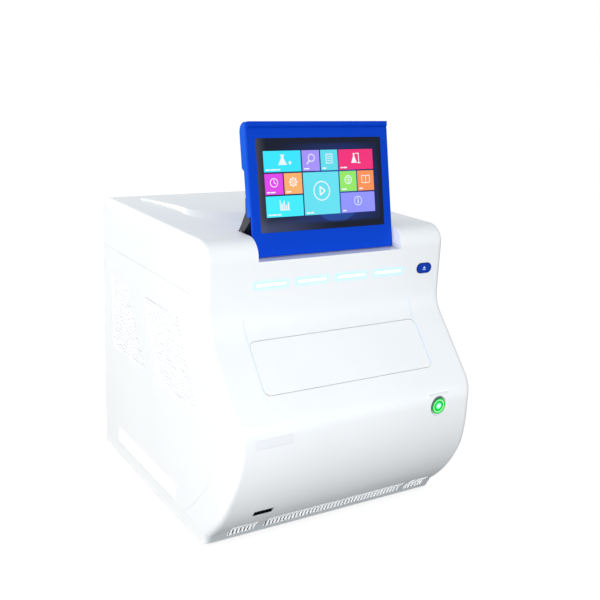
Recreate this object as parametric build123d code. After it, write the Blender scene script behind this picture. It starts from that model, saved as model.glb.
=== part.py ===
"""Benchtop sequencer: a cased instrument with a tilting touch screen and a sample drawer.

The instrument stands on four feet. X runs to the right, Y runs to the back and Z runs up.
The origin lies on the table under the middle of the instrument. All sizes are in millimetres.
"""

import math
import os

from build123d import *

# ---------------------------------------------------------------- driving dimensions
casing_width = 360
casing_depth = 433
foot_height = 5
casing_top = foot_height + 380
wall = 3
seam = 0.3  # gap between neighbouring covers
slip = 0.3  # gap beside anything that slides through a cover
running_fit = 0.05  # radial gap round a turning or sliding shaft
flat = 2  # sheet metal

side = casing_width / 2
front = -casing_depth / 2
back = casing_depth / 2

# side profile of the casing
panel_y = front + 87.5  # plane of the upright upper front
bend_z = 279.6  # the upright front meets the sloping face here
nose_z = 181.3  # the sloping face meets the bulge of the nose here
bulge_z = 162  # height of the foremost line
bulge_radius = 185
base_seam_z = foot_height + 16
toe_y = front + 74
nose_blend = 30
bend_blend = 40
brow_radius = 25
chin_blend = 20
# plan of the casing
nose_corner_radius = 36
nose_corner_y = front + 26
back_corner_radius = 12
edge_radius = 10
inner_bevel = 4  # the inner surface is bevelled where the outer one is rounded

# seams of the side panels
top_seam_z = foot_height + 312
cheek_seam = [(-95.5, 320), (-97, 282), (-116, 246), (-138, 214), (-154, 183), (-163.5, 146),
              (-159, 108), (-146, 84), (-131, 68), (-112, 47), (-91, 29), (-82, 21)]

# screen
screen_width = 208
screen_length = 162
screen_lean = 11.5  # degrees back from upright
screen_foot_y = panel_y + 15.5
screen_foot_z = casing_top - 25
bezel_thickness = 4
chin_bottom = -1.3  # the chin just clears the floor of the notch
housing_bottom = 48  # up the screen from its foot
thick_part_bottom = 108
screen_corner = 1.5
thin_depth = 13
thick_depth = 18
glass_width = 185
glass_bottom = 28
glass_top = 142
glass_thickness = 1.8
notch_half = screen_width / 2 + 3
notch_floor_z = casing_top - 27.5
notch_back_y = panel_y + 60.5
hinge_y = notch_back_y - 6
hinge_z = casing_top - 1
hinge_pin_radius = 2

# drawer in the sloping face
drawer_half = 125.5
drawer_bottom = 211
drawer_top = 263.4
drawer_corner = 8
drawer_travel = 150
tray_half = 112
tray_bottom = 215
tray_top = 257
tray_back = 20
nest_y = -70
plate_length = 127.8
plate_width = 85.5
nest_depth = 12

# decks and rods inside
floor_z = foot_height + wall  # inner floor of the base tray
deck_z = 200
bridge_z = 286
frame_x = 168
rod_radius = 4
nut_width = 8.6  # square passage for a lead screw

# openings and controls on the front
light_bar_length = 43.5
light_bar_height = 4
light_bar_pitch = 58.8
light_bar_z = foot_height + 323.3
drawer_button_x = 148
drawer_button_length = 24.6
drawer_button_height = 14
standby_x = 119
standby_z = 166
standby_bezel_radius = 13
standby_hole_radius = 11
nut_seat = 6.5  # depth of the flat inside the nose that the nut bears on
usb_x = -120
usb_z = 56.5
usb_slot_width = 27
usb_slot_height = 7
label_x = (-152, -101)
label_z = (159, 170)
intake_z = (11, 32)
intake_groups = [(-150, -112), (-98, 118), (128, 160)]
fin_pitch = 5.5

# rear
rear_plate_y = (back - wall - 3, back - wall)
fan_x = 60
fan_z = 270
fan_size = 80
fan_thickness = 25
fan_slots = 8
fan_slot_pitch = 9
rear_panel_width = 2 * 166
rear_panel_top = 373
inlet_x = 110
inlet_z = 70
rocker_x = 60


# ---------------------------------------------------------------- helpers
def block(x, y, z):
    """Box between three pairs of limits."""
    size = (x[1] - x[0], y[1] - y[0], z[1] - z[0])
    return Pos((x[0] + x[1]) / 2, (y[0] + y[1]) / 2, (z[0] + z[1]) / 2) * Box(*size)


def rod_x(radius, x, y, z):
    return Pos((x[0] + x[1]) / 2, y, z) * Rot(0, 90, 0) * Cylinder(radius, x[1] - x[0])


def rod_y(radius, x, y, z):
    return Pos(x, (y[0] + y[1]) / 2, z) * Rot(90, 0, 0) * Cylinder(radius, y[1] - y[0])


def rod_z(radius, x, y, z):
    return Pos(x, y, (z[0] + z[1]) / 2) * Cylinder(radius, z[1] - z[0])


def span(middle, size):
    """Limits of a size laid evenly about its middle."""
    return (middle - size / 2, middle + size / 2)


def mirrored(shape):
    return mirror(shape, about=Plane.YZ)


def save(node, shape):
    export_step(shape, f"parts/{node}.step")


# ---------------------------------------------------------------- casing
def bulge_y(z):
    """Front surface of the bulging lower front at a height."""
    return front + bulge_radius - math.sqrt(bulge_radius**2 - (z - bulge_z) ** 2)


def rounded_at(face, corner, radius):
    nearest = face.vertices().sort_by_distance((corner[0], corner[1], 0))[0]
    return fillet(nearest, radius)


def side_profile():
    """Outline of the casing seen from the side, as a face in (Y, Z)."""
    toe = (toe_y, foot_height)
    chin = (bulge_y(base_seam_z), base_seam_z)
    nose = (bulge_y(nose_z), nose_z)
    bend = (panel_y, bend_z)
    brow = (panel_y, casing_top)
    edges = Polyline(nose, bend, brow, (back, casing_top), (back, foot_height), toe, chin)
    face = make_face(edges + ThreePointArc(chin, (front, bulge_z), nose))
    for corner, radius in ((nose, nose_blend), (bend, bend_blend), (brow, brow_radius), (chin, chin_blend)):
        face = rounded_at(face, corner, radius)
    return face


def plan_outline(inset):
    """Outline of the casing seen from above. Its front corners shape the corners of the nose."""
    front_line = nose_corner_y - nose_corner_radius
    depth = back - front_line
    face = Pos(0, front_line + depth / 2) * Rectangle(casing_width - 2 * inset, depth - 2 * inset)
    face = fillet(face.vertices().group_by(Axis.Y)[0], nose_corner_radius - inset)
    return fillet(face.vertices().group_by(Axis.Y)[-1], back_corner_radius - inset)


def is_rim(edge, inset):
    """True for the edges where the sides of the casing meet its front, top and back."""
    middle = edge @ 0.5
    direction = edge % 0.5
    if abs(middle.Z - foot_height - inset) < 0.1:
        return False
    on_back_rim = middle.Z > casing_top - inset - 0.1 and middle.Y > back - inset - 0.1
    if abs(direction.X) > 0.999:
        return on_back_rim
    if abs(direction.Z) > 0.999:
        in_back_corner = middle.Y > back - back_corner_radius - 0.5
        at_nose_corner = abs(middle.Y - nose_corner_y) < 0.5
        return not (in_back_corner or at_nose_corner)
    return True


def casing_form(inset):
    """Closed solid inside the casing's outer surface, drawn in by inset all round."""
    profile = side_profile()
    if inset:
        profile = offset(profile, -inset, kind=Kind.INTERSECTION)
    body = extrude(Plane.YZ * profile, side - inset, both=True)
    body = body & extrude(plan_outline(inset), casing_top + 20)
    rims = [edge for edge in body.edges() if is_rim(edge, inset)]
    if inset < wall:
        return fillet(rims, edge_radius - inset)
    return chamfer(rims, inner_bevel)


outer_form = casing_form(0)
inner_form = casing_form(wall)
shell = outer_form - inner_form


def skin(depth, limits):
    """Layer of the casing between its surface and a depth, cut out by a box."""
    return (outer_form & limits) - casing_form(depth)


# ---------------------------------------------------------------- plateau on the top
def plateau_outline(side_points):
    """Face with a straight front, sides that run back in two arcs and a straight rear edge."""
    rear, hip, middle, shoulder, corner = side_points
    right = ThreePointArc(rear, hip, middle) + ThreePointArc(middle, shoulder, corner)
    right += Line(corner, (0, corner[1]))
    left = mirror(right, about=Plane.YZ)
    return make_face(right + left + Line(rear, (-rear[0], rear[1])))


def plateau():
    """Raised U-shaped plateau: 5 mm at its front, falling towards the back."""
    foot_points = [(135, 176.5), (121, 115), (120, 62), (113, 5), (77, -28.5)]
    crown_points = [(132, 176.5), (118, 123), (110, 85), (93, 38), (54, 15.5)]
    foot = Pos(0, 0, casing_top - 0.5) * plateau_outline(foot_points)
    crown = Pos(0, 0, casing_top + 5) * plateau_outline(crown_points)
    body = loft([foot, crown], ruled=True)
    fall = math.degrees(math.atan(2.8 / 150))
    top_limit = Pos(0, 20, casing_top + 5 + 25) * Rot(-fall, 0, 0) * Box(400, 600, 50)
    return body - top_limit


# ---------------------------------------------------------------- side openings
vent_shapes = [[(172.5, 278), (118, 279), (45.5, 173), (171.5, 170)],
               [(55.5, 279), (-55.5, 281), (-116.5, 174), (0.5, 169)]]
slat_pitch = 4.9
slat_gap = 2.4
grip_y = (-56.5, 153.5)
grip_z = (25, 48)
grip_depth = 14


def in_side_plane(face, x, depth):
    """Solid with a (Y, Z) face as its section, reaching from x towards the right by depth."""
    return extrude(Plane.YZ.offset(x) * face, depth)


def vent_face(corners, shrink):
    return offset(make_face(Polyline(*corners, close=True)), -shrink, kind=Kind.INTERSECTION)


def vent_slots(corners):
    """The gaps between the slats of one vent, as one face."""
    low = min(z for y, z in corners) + 4
    count = int((max(z for y, z in corners) - 5 - low) / slat_pitch) + 1
    heights = [low + slat_pitch * n for n in range(count)]
    bands = Sketch() + [Pos(0, z + slat_gap / 2) * Rectangle(600, slat_gap) for z in heights]
    return vent_face(corners, 2.5) & bands


def side_panel_zone(grow):
    """Everything that belongs to the right side panel, as a solid block."""
    curve = Spline(cheek_seam)
    z_top = top_seam_z + grow
    z_low = base_seam_z + seam / 2
    corners = Polyline(cheek_seam[-1], (back + 5, cheek_seam[-1][1]), (back + 5, cheek_seam[0][1]), cheek_seam[0])
    face = make_face(curve + corners)
    zone = in_side_plane(face, side - 14 - grow, 20)
    return zone & block((0, side + 10), (front, back + 5), (z_low, z_top))


def side_panel():
    """Right side panel with its two vents, hand grip, corner return and fixing bosses."""
    panel = shell & Pos(0, seam, 0) * side_panel_zone(0)
    pocket = block((side - grip_depth - flat, side - 1), (grip_y[0] - flat, grip_y[1] + flat),
                   (grip_z[0] - flat, grip_z[1] + flat))
    hollow = block((side - grip_depth, side + 1), grip_y, grip_z)
    mouth = fillet(hollow.edges().filter_by(Axis.X), 8)
    pocket = fillet(pocket.edges().filter_by(Axis.X), 10)
    panel = panel + pocket - mouth
    for corners in vent_shapes:
        panel -= in_side_plane(vent_face(corners, 0), side - 1, 5)
        panel -= in_side_plane(vent_slots(corners), side - wall - 1, 8)
    for y, z in boss_places:
        panel += block((frame_x + flat, side - wall + 0.5), span(y, 9), span(z, 9))
    return panel


boss_places = [(-88, 130), (188, 130), (-85, 300), (188, 300)]


# ---------------------------------------------------------------- main cover, base and rear
def drawer_mouth(gap):
    """Prism through the sloping face in which the drawer slides."""
    size = (2 * (drawer_half + gap), drawer_top - drawer_bottom + 2 * gap)
    face = RectangleRounded(*size, drawer_corner + gap)
    middle_z = (drawer_top + drawer_bottom) / 2
    return extrude(Plane.XZ * Pos(0, middle_z) * face, 200) & block((-200, 200), (-230, -100), (150, 300))


def light_bars(grow):
    """The four upright faces of the light bars, as one sketch in (X, Z)."""
    places = [(n - 1.5) * light_bar_pitch for n in range(4)]
    size = (light_bar_length + grow, light_bar_height + grow)
    bars = [Pos(x, light_bar_z) * Rectangle(*size) for x in places]
    return Sketch() + bars


def through_front(face, y, depth):
    """Solid with an (X, Z) face as its section, from y towards the back by depth."""
    return extrude(Plane.XZ.offset(-y) * face, -depth)


def intake_zone(group, gap, rise=0):
    """Room of one opening, grown sideways and in height by a gap, and in height also by a rise."""
    grow = gap + rise
    return block((group[0] - gap, group[1] + gap), (front, -100), (intake_z[0] - grow, intake_z[1] + grow))


def usb_plane():
    """Plane on the front surface at the USB sockets, with its normal pointing outwards."""
    y = bulge_y(usb_z)
    centre_y = front + bulge_radius
    normal = (0, (y - centre_y) / bulge_radius, (usb_z - bulge_z) / bulge_radius)
    return Plane(origin=(usb_x, y, usb_z), x_dir=(1, 0, 0), z_dir=normal)


def base_tray():
    """Shallow tray that closes the casing from below."""
    tray = shell & block((-200, 200), (-250, 250), (0, base_seam_z - seam / 2))
    for group in intake_groups:
        tray -= intake_zone(group, seam)
    return tray


def main_cover():
    """Top, front and cheeks in one moulding, with the screen notch and every front opening."""
    cover = shell - block((-200, 200), (-250, 250), (0, base_seam_z + seam / 2))
    zone = side_panel_zone(seam)
    cover = cover - zone - mirrored(zone)
    cover -= block((-frame_x + 8, frame_x - 8), (back - wall - 2, back + 2), (base_seam_z - 1, 370))
    notch_walls = block((-notch_half - wall, notch_half + wall), (panel_y, notch_back_y + wall),
                        (notch_floor_z - wall, casing_top))
    cover = cover + (notch_walls & outer_form) + plateau()
    cover -= block((-notch_half, notch_half), (panel_y - 5, notch_back_y), (notch_floor_z, casing_top + 10))
    cover -= drawer_mouth(slip + 0.2)
    cover -= through_front(light_bars(0.2), panel_y - 1, wall + 2)
    cover -= through_front(drawer_button_face(slip), panel_y - 1, wall + 2)
    cover += block(span(standby_x, 34), (front + 2, front + nut_seat), span(standby_z, 34))
    cover -= rod_y(standby_hole_radius + 0.1, standby_x, (front - 5, front + 10), standby_z)
    cover -= rod_y(standby_bezel_radius + 0.2, standby_x, (front - 5, front + 2), standby_z)
    cover -= label_pocket(0.15)
    socket = usb_plane()
    cover -= extrude(socket * RectangleRounded(usb_slot_width + 5.4, usb_slot_height + 5.4, 2.2), -8, both=True)
    for group in intake_groups:
        cover -= intake_zone(group, seam)
    return cover


def rear_panel():
    """Sheet at the back, behind the rims of the covers, slotted in front of the fans."""
    panel = block(span(0, rear_panel_width), rear_plate_y, (floor_z, rear_panel_top))
    through = (rear_plate_y[0] - 1, back)
    for x in (-fan_x, fan_x):
        for n in range(fan_slots):
            rise = (n - (fan_slots - 1) / 2) * fan_slot_pitch
            length = 2 * math.sqrt((fan_size / 2 - 2) ** 2 - rise**2)
            panel -= block(span(x, length), through, span(fan_z + rise, fan_slot_pitch / 2))
    panel -= block(span(inlet_x, 27.6), through, span(inlet_z, 20.2))
    return panel - block(span(rocker_x, 14.2), through, span(inlet_z, 28.2))


grille_line = [(-145.5, 11), (-150.2, 20.5), (-162.4, 32)]  # (Y, Z) just behind the front surface
grille_depth = 5  # of the recess, level
grille_wall = 2.6
fin_gap = 3.2
fin_z = (21.3, 30)


def behind_front(near, far):
    """Prism across the casing between two depths behind the line of the grille."""
    line = [(y + near, z) for y, z in grille_line]
    rear = [(y + far, z) for y, z in reversed(grille_line)]
    return extrude(Plane.YZ * make_face(Polyline(*line, *rear, close=True)), side, both=True)


def front_grille():
    """Insert behind the three low front openings: a shallow recess with upright fins."""
    ends = (intake_groups[0][0], intake_groups[-1][1])
    body = behind_front(grille_depth, grille_depth + grille_wall) & block(ends, (front, -100), intake_z)
    for group in intake_groups:
        inside = (group[0] + 1.2, group[1] - 1.2)
        body += behind_front(0, grille_depth + 1) & intake_zone(group, 0)
        body -= behind_front(-1, grille_depth) & intake_zone(inside, 0, -1.2)
    for group in intake_groups:
        count = int((group[1] - group[0] - 6) / fin_pitch)
        start = (group[0] + group[1] - (count - 1) * fin_pitch) / 2
        for n in range(count):
            body -= block(span(start + n * fin_pitch, fin_gap), (front, -100), fin_z)
    return body


def label_pocket(gap):
    low = (label_x[0] - gap, label_x[1] + gap)
    return skin(0.8, block(low, (front - 5, -150), (label_z[0] - gap, label_z[1] + gap)))


def drawer_button_face(grow):
    return Pos(drawer_button_x, light_bar_z) * SlotOverall(drawer_button_length + 2 * grow,
                                                         drawer_button_height + 2 * grow)


# ---------------------------------------------------------------- screen
screen_front = Plane(origin=(0, screen_foot_y, screen_foot_z), x_dir=(1, 0, 0),
                     z_dir=(0, -math.cos(math.radians(screen_lean)), math.sin(math.radians(screen_lean))))
# the same place seen from the right: its first axis runs up the screen, its second one out of the glass
screen_section = Plane(origin=(0, screen_foot_y, screen_foot_z), z_dir=(1, 0, 0),
                       x_dir=(0, math.sin(math.radians(screen_lean)), math.cos(math.radians(screen_lean))))


def on_screen(width, low, high, corner, near, far):
    """Slab parallel to the screen, from low to high up it and between two depths."""
    size = (width, high - low)
    face = RectangleRounded(*size, corner) if corner else Rectangle(*size)
    face = Pos(0, (low + high) / 2) * face
    return extrude(screen_front.offset(far) * face, near - far)


def screen_bezel():
    """Front frame of the screen with the chin below it and the projecting lip at its top."""
    bezel = on_screen(screen_width, chin_bottom, screen_length, screen_corner, 0, -bezel_thickness)
    lip = make_face(Polyline((screen_length - 8, 0), (screen_length - 5.5, 3.2), (screen_length - 0.5, 3.2),
                             (screen_length, 2.4), (screen_length, -2), (screen_length - 8, -2), close=True))
    bezel += extrude(screen_section * lip, screen_width / 2 - screen_corner, both=True)
    bezel -= on_screen(glass_width + 0.3, glass_bottom - 0.15, glass_top + 0.15, 1.8, 1, -glass_thickness)
    bezel -= on_screen(172, housing_bottom + 2.5, glass_top - 6, 0, 1, -bezel_thickness - 1)
    return bezel


def housing_section(shrink):
    """Section of the rear housing: thin below, thicker above, with a large round at its top."""
    top = screen_length - shrink
    low = housing_bottom + shrink
    thin = -thin_depth + shrink
    thick = -thick_depth + shrink
    step = thick_part_bottom + shrink
    near = -bezel_thickness
    face = make_face(Polyline((low, near), (top, near), (top, thick), (step, thick), (step - 4, thin),
                              (low, thin), close=True))
    return rounded_at(face, (top, thick), 12 - shrink)


def screen_rear_housing():
    """Back shell of the screen."""
    body = extrude(screen_section * housing_section(0), screen_width / 2, both=True)
    hollow = extrude(screen_section * housing_section(2), screen_width / 2 - 2, both=True)
    return body - hollow


def hinge_arm():
    """Right hinge arm: a pad on the back of the housing, cranked down to the knuckle on the pin."""
    lean = math.radians(screen_lean)
    up = math.cos(lean) * (hinge_z - screen_foot_z) + math.sin(lean) * (hinge_y - screen_foot_y)
    out = math.sin(lean) * (hinge_z - screen_foot_z) - math.cos(lean) * (hinge_y - screen_foot_y)
    arm = make_face(Polyline((72, -thin_depth), (72, -thin_depth - 3), (54, -thin_depth - 5), (up + 3.5, out - 3),
                             (up - 3.5, out + 3), (housing_bottom - 5, -8), (housing_bottom, -8),
                             (housing_bottom, -thin_depth), close=True))
    arm = extrude(screen_section.offset(arm_x[0]) * arm, arm_x[1] - arm_x[0])
    arm += rod_x(5, arm_x, hinge_y, hinge_z)
    return arm - rod_x(hinge_pin_radius + running_fit, (arm_x[0] - 1, arm_x[1] + 1), hinge_y, hinge_z)


arm_x = (95, 103)
bracket_x = (84, arm_x[0] - slip)


def hinge_bracket():
    """Right bracket: a foot on the floor of the notch and an upright that holds the pin."""
    bracket = block((bracket_x[0] - 6, bracket_x[1]), (hinge_y - 24, hinge_y + 4.5), (notch_floor_z, notch_floor_z + 3))
    upright = block(bracket_x, span(hinge_y, 9), (notch_floor_z, hinge_z + 4.5))
    bracket += chamfer(upright.faces().sort_by(Axis.Z)[-1].edges().filter_by(Axis.X), 2.5)
    return bracket - rod_x(hinge_pin_radius + 0.02, (bracket_x[0] - 1, bracket_x[1] + 1), hinge_y, hinge_z)


def save_screen():
    save("screen_bezel", screen_bezel())
    save("screen_rear_housing", screen_rear_housing())
    save("touch_glass", on_screen(glass_width, glass_bottom, glass_top, 1.8, -0.2, -glass_thickness))
    save("display_module", on_screen(196, housing_bottom + 3, 136, 0, -bezel_thickness, -8.5))
    save("display_board", on_screen(150, 60, 128, 0, -8.5, -10.1))
    pin = rod_x(hinge_pin_radius, (bracket_x[0], arm_x[1]), hinge_y, hinge_z)
    save("hinge_pins", Part() + [pin, mirrored(pin)])
    for name, build in (("hinge_arm", hinge_arm()), ("hinge_bracket", hinge_bracket())):
        save(f"{name}_right", build)
        save(f"{name}_left", mirrored(build))


# ---------------------------------------------------------------- drawer
rail_z = (226, 246)
member_x = (tray_half, 119.5)
channel_x = (116.5, 122)
rail_back = 60
rail_front = -146
screw_x = 145
screw_z = 223
nut_y = (6, 20)


def drawer_front():
    return shell & drawer_mouth(0)


def drawer_tray():
    """Open tray behind the drawer front, with a window in its floor and the arm for the drive nut."""
    limits = block((-tray_half, tray_half), (front, tray_back), (tray_bottom, tray_top))
    inside = block((-tray_half + 2.5, tray_half - 2.5), (front, tray_back - 2.5), (tray_bottom + 3, tray_top + 5))
    tray = (limits & inner_form) - (inside & casing_form(wall + 3))
    tray -= block((-56, 56), span(nest_y, 74), (tray_bottom - 1, tray_bottom + 5))
    arm = block((tray_half - 2.5, 153), nut_y, (250, 254)) + block((137, 153), nut_y, (213, 254))
    passage = block(span(screw_x, nut_width), (nut_y[0] - 1, nut_y[1] + 1), span(screw_z, nut_width))
    return tray + (arm - passage)


def plate_nest():
    """Nest for a sample plate of the common 127.8 x 85.5 mm footprint, open in the middle."""
    top = tray_bottom + 3 + 20
    nest = block((-75, 75), span(nest_y, 104), (tray_bottom + 3, top))
    nest = chamfer(nest.edges().filter_by(Axis.Z), 5)
    nest -= block(span(0, plate_length + 0.6), span(nest_y, plate_width + 0.6), (top - nest_depth, top + 1))
    nest -= block((-55, 55), span(nest_y, 72), (tray_bottom, top))
    for x in (-plate_length / 2, plate_length / 2):
        nest -= block(span(x, 12), span(nest_y, 30), (top - nest_depth, top + 1))
    return nest


def rail_member():
    """Right moving rail, fixed to the side of the tray."""
    return block(member_x, (rail_front, rail_back - 1), (rail_z[0] + slip, rail_z[1] - slip))


def rail_channel():
    """Right fixed rail: a channel open towards the tray, on a leg that stands on the deck."""
    y = (rail_front, rail_back)
    channel = block(channel_x, y, (rail_z[0] - 2, rail_z[1] + 2))
    channel -= block((channel_x[0] - 1, 120), (y[0] - 1, y[1] + 1), rail_z)
    channel += block((120, channel_x[1]), y, (deck_z + flat, rail_z[0]))
    return channel + block((120, 134), y, (deck_z + flat, deck_z + 2 * flat))


def motor(x, y, z, shaft_axis):
    """Square stepper motor filling three ranges, with its corners bevelled along the shaft."""
    body = block(x, y, z)
    return chamfer(body.edges().filter_by(shaft_axis), 4)


def save_drawer():
    save("drawer_front", drawer_front())
    save("drawer_tray", drawer_tray())
    save("plate_nest", plate_nest())
    save("rail_member_right", rail_member())
    save("rail_member_left", mirrored(rail_member()))
    save("rail_channels", Part() + [rail_channel(), mirrored(rail_channel())])
    save("drawer_motor", motor(span(screw_x, 42), (60, 100), span(screw_z, 42), Axis.Y))
    save("drawer_screw", rod_y(rod_radius, screw_x, (-151, 60), screw_z))


# ---------------------------------------------------------------- chassis
def chassis_floor():
    """Sheet on the floor of the base tray, with four posts for the main board."""
    sheet = block((-170, 170), (-125, 205), (floor_z, floor_z + flat))
    for x in (-145, -35):
        for y in (70, 170):
            sheet += block(span(x, 7), span(y, 7), (floor_z + flat, board_z))
    return sheet


board_z = 22
frame_y = (-100, 200)


def side_frame():
    """Right upright frame that carries the deck, the bridge, the rods and the covers."""
    frame = block((frame_x, frame_x + flat), frame_y, (floor_z + flat, casing_top - wall))
    grip = block((frame_x - 1, frame_x + 5), (grip_y[0] - 8, grip_y[1] + 8), (floor_z, 58))
    frame -= grip
    window = block((frame_x - 1, frame_x + 5), (-70, 170), (75, 158))
    frame -= chamfer(window.edges().filter_by(Axis.X), 12)
    for corners in vent_shapes:
        limit = block((0, 200), (frame_y[0] + 12, frame_y[1] - 12), (0, 400))
        frame -= in_side_plane(vent_face(corners, -1), frame_x - 1, 5) & limit
    return frame


def drawer_deck():
    """Level sheet under the drawer, with a window for the thermal block and a bearing tab."""
    deck = block((-frame_x, frame_x), (-100, 110), (deck_z, deck_z + flat))
    deck += block((-160, 160), (-152, -100), (deck_z, deck_z + flat))
    deck -= block((-57, 57), span(nest_y, 76), (deck_z - 1, deck_z + 3))
    deck += block(span(screw_x, 16), (-152, -149), (deck_z, screw_z + 8))
    return deck - rod_y(rod_radius + running_fit, screw_x, (-153, -148), screw_z)


def optics_bridge():
    """Level sheet above the drawer that the heated cover hangs from."""
    bridge = block((-frame_x, frame_x), (-118, 30), (bridge_z, bridge_z + 4))
    return bridge - block((-56, 56), span(nest_y, 76), (bridge_z - 1, bridge_z + 5))


def save_chassis():
    save("chassis_floor", chassis_floor())
    right = side_frame()
    left = mirrored(right) - rod_x(rod_radius + running_fit, (-frame_x - 5, -frame_x + 1), head_screw_y, head_screw_z)
    save("side_frame_right", right)
    save("side_frame_left", left)
    save("drawer_deck", drawer_deck())
    save("optics_bridge", optics_bridge())


# ---------------------------------------------------------------- optics and thermal unit
head_screw_y = -55
head_screw_z = 338
head_rod_z = 330
head_rods_y = (-95, -15)
head_home_x = -45
sink_z = (135, 183)
lift_screw_y = -8
lift_posts_x = 88


def optics_head():
    """Box that rides along the two rods with a lens barrel looking down at the plate."""
    x = span(head_home_x, 64)
    head = block(x, (-108, -2), (300, 350))
    head = chamfer(head.edges().filter_by(Axis.X), 5)
    head += rod_z(18, head_home_x, nest_y, (291.5, 301))
    reach = (x[0] - 1, x[1] + 1)
    for y in head_rods_y:
        head -= rod_x(rod_radius + running_fit, reach, y, head_rod_z)
    return head - block(reach, span(head_screw_y, nut_width), span(head_screw_z, nut_width))


def heated_cover():
    """Frame with a window that presses on the plate from above."""
    cover = block((-72, 72), (-118, -22), (bridge_z - 22, bridge_z))
    cover = chamfer(cover.faces().sort_by(Axis.Z)[0].edges(), 3)
    return cover - block((-55, 55), span(nest_y, 74), (bridge_z - 30, bridge_z + 1))


def heat_sink():
    """Finned aluminium block under the thermal block."""
    sink = block((-62, 62), span(nest_y, 84), sink_z)
    pitch = 8
    for n in range(15):
        x = -56 + n * pitch
        sink -= block((x - 2.6, x + 2.6), (nest_y - 50, nest_y + 50), (sink_z[0] - 1, sink_z[1] - 8))
    return sink


def lift_plate():
    """Carrier of the thermal unit, guided by two posts and raised by a screw."""
    z = (sink_z[0] - 8, sink_z[0])
    plate = block((-100, 100), (nest_y - 46, 8), z)
    plate -= block((-56, 56), span(nest_y, 72), z)
    for x in (-lift_posts_x, lift_posts_x):
        plate -= rod_z(5 + running_fit, x, nest_y, z)
    return plate - block(span(0, nut_width), span(lift_screw_y, nut_width), z)


def save_instruments():
    save("optics_head", optics_head())
    save("optics_rods", Part() + [rod_x(rod_radius, (-frame_x, frame_x), y, head_rod_z) for y in head_rods_y])
    save("optics_motor", motor((frame_x - 40, frame_x), span(head_screw_y, 42), span(head_screw_z, 42), Axis.X))
    save("optics_screw", rod_x(rod_radius, (-frame_x - 1.5, frame_x - 40), head_screw_y, head_screw_z))
    save("heated_cover", heated_cover())
    save("thermal_block", block((-53, 53), span(nest_y, 66), (sink_z[1], tray_bottom - 5)))
    save("heat_sink", heat_sink())
    save("lift_plate", lift_plate())
    save("lift_screw", rod_z(rod_radius, 0, lift_screw_y, (50, deck_z - slip)))
    save("lift_motor", motor((-21, 21), span(lift_screw_y, 42), (floor_z + flat, 50), Axis.Z))
    save("lift_posts", Part() + [rod_z(5, x, nest_y, (floor_z + flat, deck_z)) for x in (-lift_posts_x, lift_posts_x)])


# ---------------------------------------------------------------- electronics
def power_supply():
    """Closed metal case with louvre slots in its top."""
    case = block((20, 150), (70, 185), (floor_z + flat, 56))
    for n in range(9):
        case -= block((35, 95), (82 + n * 11, 86 + n * 11), (54, 57))
    return case


def main_board():
    """Printed board on its posts, with a heat spreader and a row of sockets."""
    board = block((-152, -28), (62, 178), (board_z, board_z + 1.6))
    board += block((-120, -75), (95, 140), (board_z + 1.5, board_z + 18))
    for n in range(4):
        board += block((-62 + n * 8, -58 + n * 8), (80, 160), (board_z + 1.5, board_z + 12))
    return board


def light_guide():
    """Clear moulding: four bars that fill the slots, on one strip behind the panel."""
    strip_y = panel_y + wall
    guide = block((-113, 113), (strip_y, strip_y + 4), span(light_bar_z, 11))
    return guide + through_front(light_bars(0), panel_y, wall + 1)


def save_electronics():
    save("power_supply", power_supply())
    save("main_board", main_board())
    save("light_guide", light_guide())
    board_y = panel_y + wall + 4
    save("light_board", block((-113, 113), (board_y, board_y + 1.6), span(light_bar_z, 20)))


# ---------------------------------------------------------------- front controls and sockets
def standby_bezel():
    """Ring on the nose with its barrel through the cover and a nut behind."""
    ring = rod_y(standby_bezel_radius, standby_x, (front, front + 2), standby_z)
    ring = chamfer(ring.edges().sort_by(Axis.Y)[0], 0.8)
    barrel = rod_y(standby_hole_radius, standby_x, (front + 1, front + 26), standby_z)
    nut_section = Pos(standby_x, standby_z) * RegularPolygon(15, 6)
    nut = through_front(nut_section, front + nut_seat, 4)
    body = ring + barrel + nut
    return body - rod_y(9.3, standby_x, (front - 1, front + 22), standby_z)


def standby_cap():
    """Round cap that travels into the bezel."""
    return rod_y(9.1, standby_x, (front + 0.4, front + 16), standby_z)


def drawer_button():
    """Pill-shaped cap that opens the drawer."""
    return through_front(drawer_button_face(0), panel_y - 0.9, 13)


def drawer_button_switch():
    """Housing behind the panel that the pill-shaped cap travels in."""
    y = panel_y + wall
    house = block(span(drawer_button_x, 32), (y, y + 18), span(light_bar_z, 20))
    return house - block(span(drawer_button_x, 25.4), (y - 1, y + 11), span(light_bar_z, 14.8))


def usb_socket():
    """Bezel and pair of sockets in one frame, square to the curved front."""
    place = usb_plane()
    body = extrude(place * RectangleRounded(usb_slot_width + 5, usb_slot_height + 5, 2), -16)
    body = body & outer_form
    body -= extrude(place * Rectangle(usb_slot_width, usb_slot_height), -14, both=True)
    for x in (-6.8, 6.8):
        shell_face = Pos(x, 0) * (Rectangle(13.1, 6.6) - Rectangle(12.5, 6.0))
        body += extrude(place.offset(-2) * shell_face, -13)
        body += extrude(place.offset(-4) * Pos(x, 1) * Rectangle(11, 1.8), -11)
    return body


def power_inlet():
    """Three-pin inlet with a flange, open to the back."""
    y = rear_plate_y[1]
    body = block(span(inlet_x, 27), (y - 24, y + 0.5), span(inlet_z, 19.6))
    flange = block(span(inlet_x, 50), (y, y + 2.4), span(inlet_z, 23))
    body = body + chamfer(flange.edges().filter_by(Axis.Y), 6)
    body -= block(span(inlet_x, 22.5), (y - 18, y + 5), span(inlet_z, 15.4))
    for x, z in ((-7, -1.5), (0, 2.5), (7, -1.5)):
        body += block(span(inlet_x + x, 2), (y - 19, y - 3), span(inlet_z + z, 4))
    return body


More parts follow.
